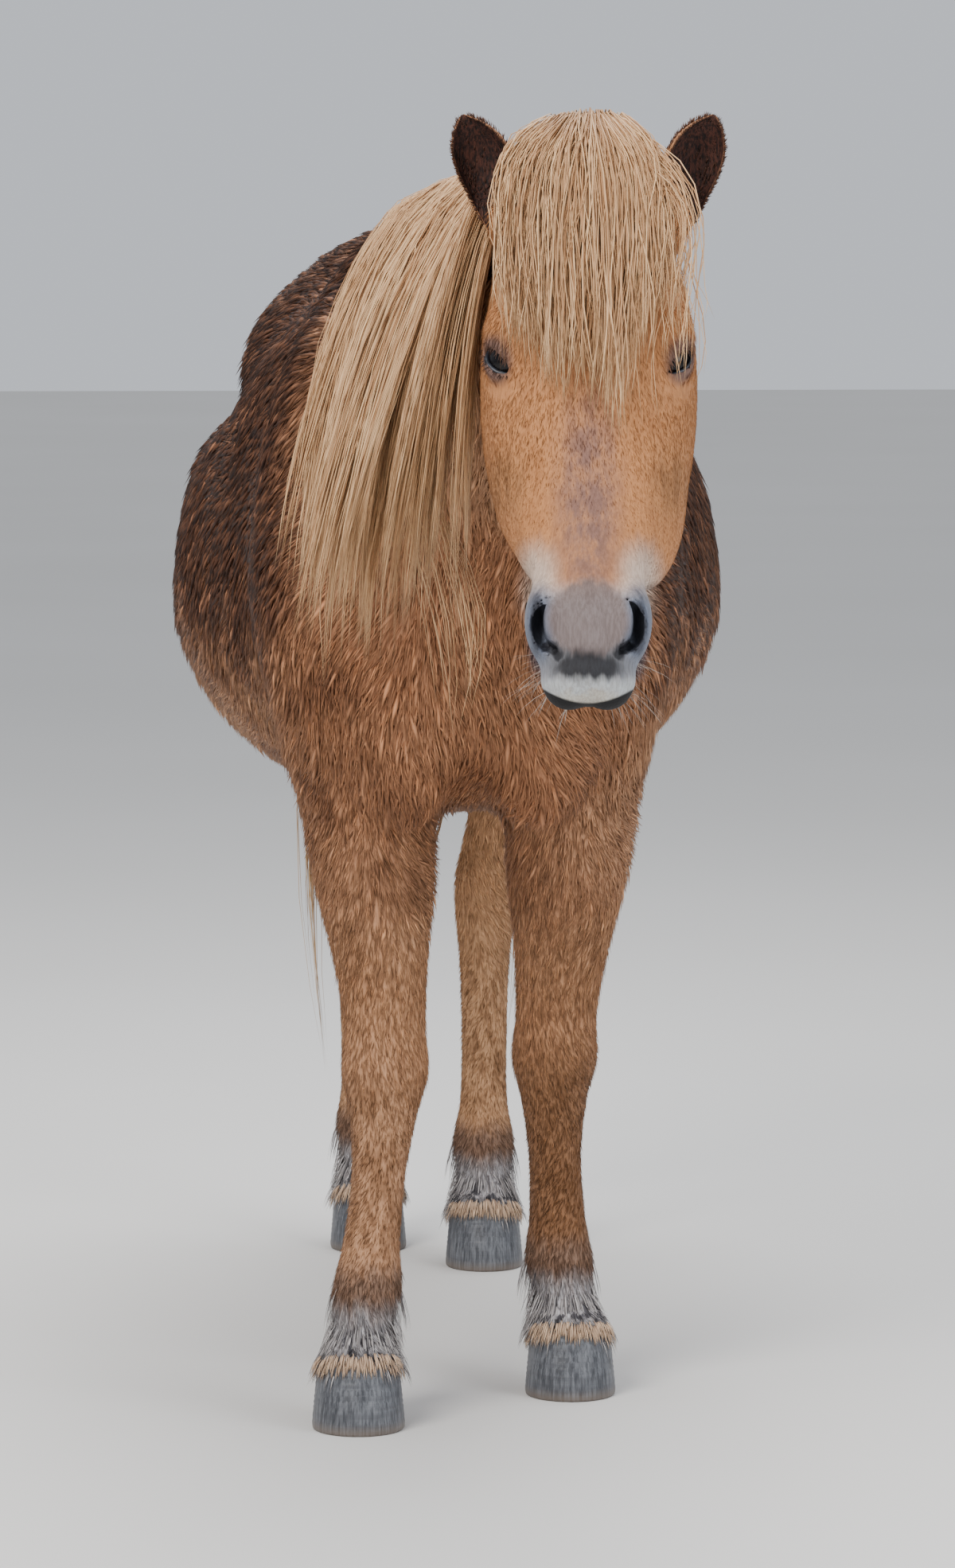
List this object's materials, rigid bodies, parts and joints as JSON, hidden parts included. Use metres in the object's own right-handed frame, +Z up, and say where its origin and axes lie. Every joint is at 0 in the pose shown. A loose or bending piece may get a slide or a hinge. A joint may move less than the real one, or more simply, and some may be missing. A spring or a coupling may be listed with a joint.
{
  "type": "horse model",
  "caption": "Life-size standing Icelandic horse with a long mane, a full forelock and a hanging tail, its head turned to the front.",
  "frame": {"origin": "on the ground under the middle of the bounding box", "axes": "the horse faces -Y, its left side is +X, +Z is up"},
  "size_m": [0.6812, 2.2458, 1.4907],
  "materials": {
    "coat": "matte dense hair",
    "tail_hair": "long coarse hair",
    "ear_coat": "short dark hair",
    "hoof": "horn, satin",
    "eye": "wet, glossy"
  },
  "bodies": {
    "root": {"fore_right": "coat", "hoof_fore_right": "hoof", "fore_left": "coat", "hoof_fore_left": "hoof", "hind_left": "coat", "hoof_hind_left": "hoof", "hind_right": "coat", "hoof_hind_right": "hoof", "torso": "coat", "eye_right": "eye", "eye_left": "eye", "ear_right": "ear_coat", "ear_left": "ear_coat", "neck": "coat", "head": "coat", "tail": "tail_hair"}
  },
  "joints": []
}
